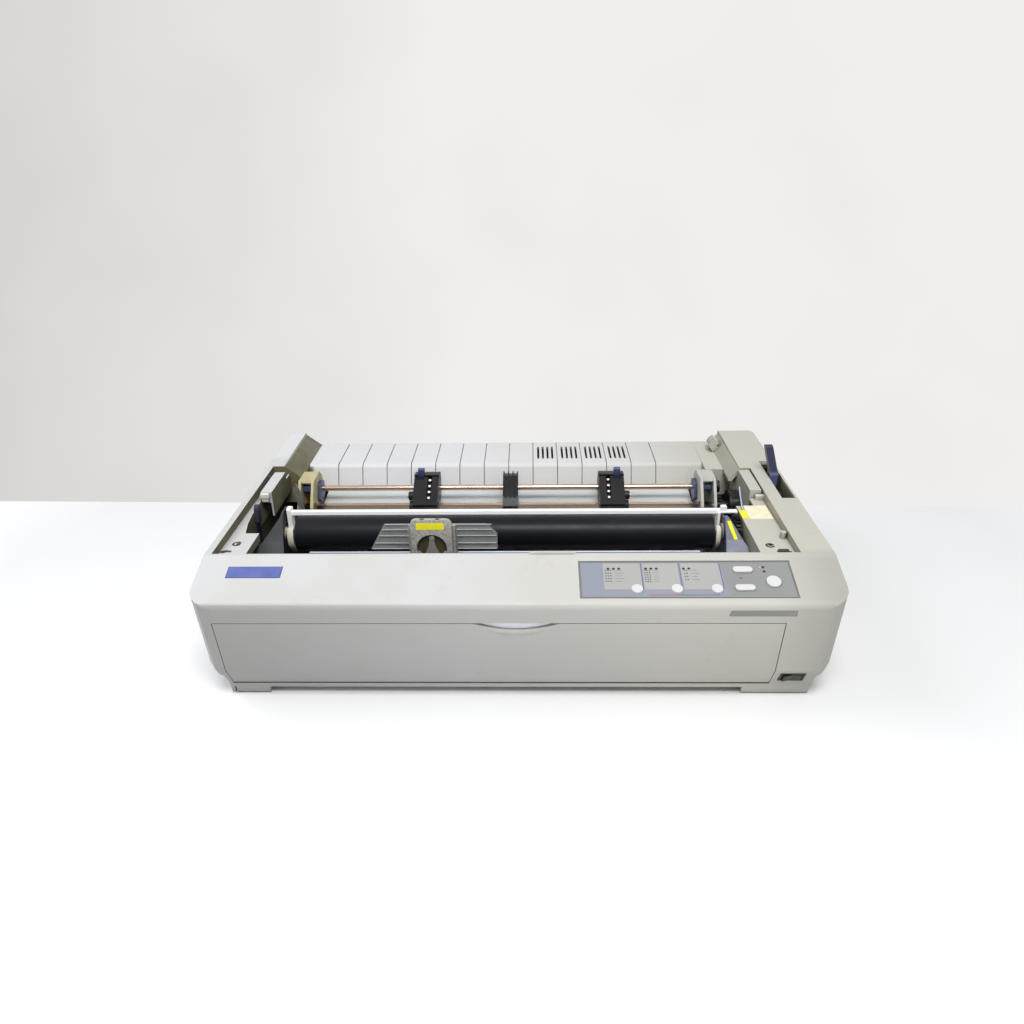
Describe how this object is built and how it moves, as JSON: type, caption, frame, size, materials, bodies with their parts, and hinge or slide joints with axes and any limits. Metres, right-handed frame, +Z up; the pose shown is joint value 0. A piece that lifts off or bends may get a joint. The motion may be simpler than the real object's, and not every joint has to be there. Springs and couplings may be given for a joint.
{
  "type": "dot matrix printer",
  "caption": "Wide-carriage dot matrix printer in pale grey plastic, seen with its top cover and paper guide removed.",
  "frame": {"origin": "on the table, under the middle of the printer", "axes": "+X to the printer's right as seen from its front, +Y to its rear, +Z up"},
  "size_m": [0.639, 0.4002, 0.1832],
  "materials": {
    "case_grey": "fine matt texture",
    "foot_rubber": "matt",
    "panel_face": "smooth matt",
    "lamp_lens": "clear green",
    "circuit_board": "satin lacquer",
    "black_plastic": "satin",
    "zinc_sheet": "zinc plated",
    "frame_steel": "dull grey plated sheet",
    "brass_gear": "dull",
    "platen_rubber": "smooth, slightly glossy",
    "bright_steel": "ground",
    "coppery_steel": "worn bright",
    "white_nylon": "satin",
    "cream_plastic": "aged matt",
    "blue_plastic": "satin",
    "guide_plastic": "matt",
    "guide_steel": "satin",
    "bail_metal": "bright",
    "head_casting": "cast, matt",
    "clear_film": "clear film",
    "belt_rubber": "matt",
    "button_white": "smooth matt"
  },
  "bodies": {
    "chassis": {"lower_case": "case_grey", "upper_case": "case_grey", "rubber_feet": "foot_rubber", "control_panel": "panel_face", "indicator_lamps": "lamp_lens", "panel_board": "circuit_board", "power_switch": "black_plastic", "power_inlet": "black_plastic", "interface_socket": "zinc_sheet", "main_board": "circuit_board", "power_supply": "circuit_board", "base_plate": "zinc_sheet", "side_frame_left": "frame_steel", "side_frame_right": "frame_steel", "motor_plate": "frame_steel", "feed_motor": "zinc_sheet", "platen_bushes": "white_nylon", "tractor_support_shaft": "coppery_steel", "support_shaft_wheel": "black_plastic", "tractor_bracket_left": "cream_plastic", "tractor_bracket_right": "cream_plastic", "rear_paper_guide": "guide_plastic", "front_paper_guide": "guide_steel", "carriage_shaft": "bright_steel", "timing_belt": "belt_rubber", "carriage_motor": "zinc_sheet"},
    "door": {"front_door": "case_grey"},
    "font_key": {"font_button": "button_white"},
    "pitch_key": {"pitch_button": "button_white"},
    "tear_key": {"tear_button": "button_white"},
    "load_key": {"load_button": "button_white"},
    "feed_key": {"feed_button": "button_white"},
    "pause_key": {"pause_button": "button_white"},
    "rocker": {"power_rocker": "black_plastic"},
    "platen_set": {"platen": "platen_rubber", "platen_shaft": "bright_steel", "platen_gear": "black_plastic", "platen_knob": "black_plastic"},
    "front_idler": {"idler_gear_front": "black_plastic"},
    "rear_idler": {"idler_gear_rear": "black_plastic"},
    "tractor_shaft": {"tractor_drive_shaft": "bright_steel", "tractor_gear": "black_plastic"},
    "feed_pinion": {"motor_pinion": "brass_gear"},
    "tab_left": {"bracket_tab_left": "blue_plastic"},
    "tab_right": {"bracket_tab_right": "blue_plastic"},
    "tractor_l": {"tractor_left": "black_plastic"},
    "flap_l": {"tractor_flap_left": "black_plastic"},
    "lock_l": {"tractor_lock_left": "blue_plastic"},
    "tractor_r": {"tractor_right": "black_plastic"},
    "flap_r": {"tractor_flap_right": "black_plastic"},
    "lock_r": {"tractor_lock_right": "blue_plastic"},
    "support_c": {"centre_support": "black_plastic"},
    "bail_set": {"bail": "bail_metal"},
    "carriage_set": {"carriage": "black_plastic", "print_head": "head_casting", "ribbon_mask": "clear_film"},
    "pulley_drive": {"drive_pulley": "white_nylon"},
    "pulley_idler": {"idler_pulley": "white_nylon"},
    "release": {"release_lever": "blue_plastic"},
    "thickness": {"thickness_lever": "blue_plastic"}
  },
  "joints": [
    {"name": "front_door_hinge", "type": "hinge", "parent": "chassis", "child": "door", "pos_m": [0, -0.17432, 0.0175], "axis": [1, 0, 0], "range_deg": [0, 80]},
    {"name": "font_press", "type": "slide", "parent": "chassis", "child": "font_key", "axis": [0, 0.3094, -0.9509], "range_m": [0, 0.0015], "stiffness_N_per_m": 400},
    {"name": "pitch_press", "type": "slide", "parent": "chassis", "child": "pitch_key", "axis": [0, 0.3094, -0.9509], "range_m": [0, 0.0015], "stiffness_N_per_m": 400},
    {"name": "tear_press", "type": "slide", "parent": "chassis", "child": "tear_key", "axis": [0, 0.3094, -0.9509], "range_m": [0, 0.0015], "stiffness_N_per_m": 400},
    {"name": "load_press", "type": "slide", "parent": "chassis", "child": "load_key", "axis": [0, 0.3094, -0.9509], "range_m": [0, 0.0015], "stiffness_N_per_m": 400},
    {"name": "feed_press", "type": "slide", "parent": "chassis", "child": "feed_key", "axis": [0, 0.3094, -0.9509], "range_m": [0, 0.0015], "stiffness_N_per_m": 400},
    {"name": "pause_press", "type": "slide", "parent": "chassis", "child": "pause_key", "axis": [0, 0.3094, -0.9509], "range_m": [0, 0.0015], "stiffness_N_per_m": 400},
    {"name": "rocker_tilt", "type": "hinge", "parent": "chassis", "child": "rocker", "pos_m": [0.276, -0.18227, 0.02775], "axis": [0, -0.4754, 0.8797], "range_deg": [-12, 0]},
    {"name": "platen_spin", "type": "hinge", "parent": "chassis", "child": "platen_set", "pos_m": [0, -0.035, 0.116], "axis": [1, 0, 0], "continuous": true},
    {"name": "front_idler_spin", "type": "hinge", "parent": "chassis", "child": "front_idler", "pos_m": [0.243, -0.00742, 0.09286], "axis": [1, 0, 0], "continuous": true},
    {"name": "rear_idler_spin", "type": "hinge", "parent": "chassis", "child": "rear_idler", "pos_m": [0.243, 0.02855, 0.09155], "axis": [1, 0, 0], "continuous": true},
    {"name": "tractor_shaft_spin", "type": "hinge", "parent": "chassis", "child": "tractor_shaft", "pos_m": [0, 0.0525, 0.107], "axis": [1, 0, 0], "continuous": true},
    {"name": "feed_pinion_spin", "type": "hinge", "parent": "chassis", "child": "feed_pinion", "pos_m": [0.243, -0.00273, 0.06627], "axis": [1, 0, 0], "continuous": true},
    {"name": "tab_left_turn", "type": "hinge", "parent": "chassis", "child": "tab_left", "pos_m": [-0.262, 0.0835, 0.118], "axis": [1, 0, 0], "range_deg": [0, 20]},
    {"name": "tab_right_turn", "type": "hinge", "parent": "chassis", "child": "tab_right", "pos_m": [0.23, 0.0835, 0.118], "axis": [1, 0, 0], "range_deg": [0, 20]},
    {"name": "tractor_left_slide", "type": "slide", "parent": "chassis", "child": "tractor_l", "axis": [1, 0, 0], "range_m": [-0.1, 0.06]},
    {"name": "tractor_right_slide", "type": "slide", "parent": "chassis", "child": "tractor_r", "axis": [1, 0, 0], "range_m": [-0.07, 0.07]},
    {"name": "centre_support_slide", "type": "slide", "parent": "chassis", "child": "support_c", "axis": [1, 0, 0], "range_m": [-0.01, 0.03]},
    {"name": "flap_left_hinge", "type": "hinge", "parent": "tractor_l", "child": "flap_l", "pos_m": [-0.1305, 0.05, 0.121], "axis": [0, -0.8548, -0.519], "range_deg": [0, 110]},
    {"name": "flap_right_hinge", "type": "hinge", "parent": "tractor_r", "child": "flap_r", "pos_m": [0.1295, 0.05, 0.121], "axis": [0, 0.8548, 0.519], "range_deg": [0, 110]},
    {"name": "lock_left_turn", "type": "hinge", "parent": "tractor_l", "child": "lock_l", "pos_m": [-0.123, 0.0835, 0.118], "axis": [-1, 0, 0], "range_deg": [0, 25]},
    {"name": "lock_right_turn", "type": "hinge", "parent": "tractor_r", "child": "lock_r", "pos_m": [0.122, 0.0835, 0.118], "axis": [-1, 0, 0], "range_deg": [0, 25]},
    {"name": "bail_hinge", "type": "hinge", "parent": "chassis", "child": "bail_set", "pos_m": [0, -0.024, 0.092], "axis": [-1, 0, 0], "range_deg": [0, 25]},
    {"name": "carriage_slide", "type": "slide", "parent": "chassis", "child": "carriage_set", "axis": [1, 0, 0], "range_m": [-0.095, 0.238]},
    {"name": "drive_pulley_spin", "type": "hinge", "parent": "chassis", "child": "pulley_drive", "pos_m": [-0.244, -0.116, 0.069], "axis": [0, 0, 1], "continuous": true},
    {"name": "idler_pulley_spin", "type": "hinge", "parent": "chassis", "child": "pulley_idler", "pos_m": [0.209, -0.116, 0.069], "axis": [0, 0, 1], "continuous": true},
    {"name": "release_lever_turn", "type": "hinge", "parent": "chassis", "child": "release", "pos_m": [0.302, 0.048, 0.084], "axis": [1, 0, 0], "range_deg": [-20, 30]},
    {"name": "thickness_lever_turn", "type": "hinge", "parent": "chassis", "child": "thickness", "pos_m": [-0.2895, -0.05, 0.094], "axis": [1, 0, 0], "range_deg": [-12, 10]}
  ],
  "couplings": [
    {"joint": "front_idler_spin", "follows": "platen_spin", "ratio": -1},
    {"joint": "rear_idler_spin", "follows": "platen_spin", "ratio": 1},
    {"joint": "tractor_shaft_spin", "follows": "platen_spin", "ratio": -1.7143},
    {"joint": "feed_pinion_spin", "follows": "platen_spin", "ratio": 2},
    {"joint": "drive_pulley_spin", "follows": "carriage_slide", "rad_per_m": 114.94},
    {"joint": "idler_pulley_spin", "follows": "carriage_slide", "rad_per_m": 114.94}
  ]
}
